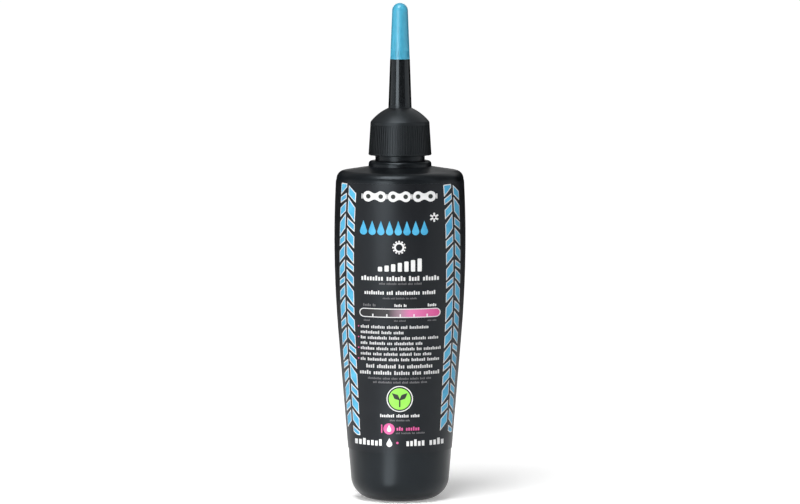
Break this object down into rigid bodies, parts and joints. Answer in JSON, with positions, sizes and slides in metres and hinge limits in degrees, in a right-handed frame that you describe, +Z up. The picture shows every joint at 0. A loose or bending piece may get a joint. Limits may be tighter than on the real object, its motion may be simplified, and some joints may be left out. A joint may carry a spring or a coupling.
{
  "type": "chain lube bottle",
  "caption": "Squeeze bottle for chain oil with a printed sleeve, a screw-on drip spout with a ribbed skirt and a small push-on cap over the nozzle.",
  "frame": {"origin": "middle of the ring that the bottle stands on, on the ground", "axes": "+Z up along the axis of the bottle, -Y towards the printed front"},
  "size_m": [0.0458, 0.0458, 0.1737],
  "materials": {
    "bottle_plastic": "satin charcoal blown plastic",
    "sleeve_film": "satin printed shrink film",
    "washer_foam": "matt white sealing foam",
    "spout_plastic": "satin charcoal moulded plastic",
    "tip_plastic": "satin sky blue moulded plastic"
  },
  "bodies": {
    "bottle": {"bottle": "bottle_plastic", "label_sleeve": "sleeve_film"},
    "washer": {"seal_washer": "washer_foam"},
    "spout": {"spout_cap": "spout_plastic"},
    "tip": {"tip_cap": "tip_plastic"}
  },
  "joints": [
    {"name": "spout_lift", "type": "slide", "parent": "bottle", "child": "washer", "axis": [0, 0, 1], "range_m": [0, 0.0127]},
    {"name": "spout_turn", "type": "hinge", "parent": "washer", "child": "spout", "pos_m": [0, 0, 0.1309], "axis": [0, 0, 1], "range_deg": [0, 1440]},
    {"name": "tip_pull", "type": "slide", "parent": "spout", "child": "tip", "axis": [0, 0, 1], "range_m": [0, 0.02]}
  ],
  "couplings": [
    {"joint": "spout_lift", "follows": "spout_turn", "m_per_rad": 0.00050532}
  ]
}
